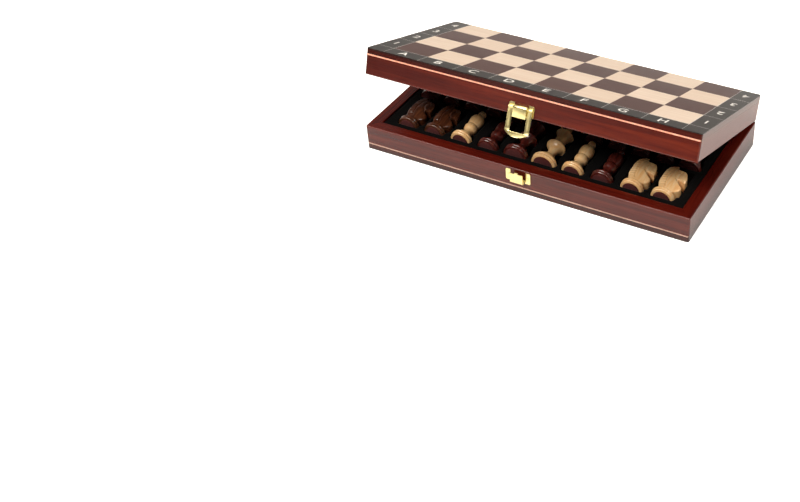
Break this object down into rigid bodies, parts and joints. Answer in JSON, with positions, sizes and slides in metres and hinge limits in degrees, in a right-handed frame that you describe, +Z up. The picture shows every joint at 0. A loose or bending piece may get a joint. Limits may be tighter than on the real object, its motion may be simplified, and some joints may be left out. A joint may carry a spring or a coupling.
{
  "type": "chess box with hinged lid",
  "caption": "Folding chess box with a board veneered on its outer faces, a hinged lid, a brass hasp with swinging loop, and chessmen lying in a pocketed insert.",
  "frame": {"origin": "centre of the base's underside, on the surface it stands on", "axes": "+Z up, +Y from the clasp towards the hinges, +X to the right seen from the clasp side"},
  "size_m": [0.27, 0.1457, 0.0839],
  "materials": {
    "lacquered_frame": "glossy mahogany lacquer",
    "panel": "stained plywood",
    "light_string": "lacquered inlay",
    "dark_veneer": "lacquered veneer",
    "light_veneer": "lacquered veneer",
    "black_veneer": "lacquered black veneer",
    "black_foam": "flocked foam",
    "felt": "felt",
    "hinge_brass": "polished",
    "clasp_brass": "polished",
    "dark_men": "glossy lacquered rosewood",
    "light_men": "satin boxwood"
  },
  "bodies": {
    "base": {"base_back_rail": "lacquered_frame", "base_board_panel": "panel", "base_border_veneer": "black_veneer", "base_dark_squares": "dark_veneer", "base_front_rail": "lacquered_frame", "base_hinge_leaf_left": "hinge_brass", "base_hinge_leaf_right": "hinge_brass", "base_hinge_screws": "hinge_brass", "base_inlaid_string": "light_string", "base_insert": "black_foam", "base_left_rail": "lacquered_frame", "base_light_squares": "light_veneer", "base_right_rail": "lacquered_frame", "catch_nails": "clasp_brass", "catch_plate": "clasp_brass", "dark_bishop_left": "dark_men", "dark_bishop_right": "dark_men", "dark_king": "dark_men", "dark_knight_left": "dark_men", "dark_knight_right": "dark_men", "dark_pawns": "dark_men", "dark_queen": "dark_men", "dark_rook_left": "dark_men", "dark_rook_right": "dark_men", "hinge_pins": "hinge_brass", "light_bishop_left": "light_men", "light_bishop_right": "light_men", "light_king": "light_men", "light_knight_left": "light_men", "light_knight_right": "light_men", "light_pawns": "light_men", "light_queen": "light_men", "light_rook_left": "light_men", "light_rook_right": "light_men", "piece_felts": "felt"},
    "lid": {"lid_back_rail": "lacquered_frame", "lid_board_panel": "panel", "lid_border_veneer": "black_veneer", "lid_dark_squares": "dark_veneer", "lid_front_rail": "lacquered_frame", "lid_hinge_leaf_left": "hinge_brass", "lid_hinge_leaf_right": "hinge_brass", "lid_hinge_screws": "hinge_brass", "lid_inlaid_string": "light_string", "lid_left_rail": "lacquered_frame", "lid_light_squares": "light_veneer", "lid_liner": "black_foam", "lid_right_rail": "lacquered_frame", "hasp_nails": "clasp_brass", "hasp_plate": "clasp_brass"},
    "hasp_loop": {"hasp_loop": "clasp_brass"}
  },
  "joints": [
    {"name": "lid_hinge", "type": "hinge", "parent": "base", "child": "lid", "pos_m": [0, 0.06765, 0.02115], "axis": [-1, 0, 0], "range_deg": [-18.4, 161.6]},
    {"name": "loop_swing", "type": "hinge", "parent": "lid", "child": "hasp_loop", "pos_m": [0, -0.06036, 0.07053], "axis": [-1, 0, 0], "range_deg": [-6, 170]}
  ]
}
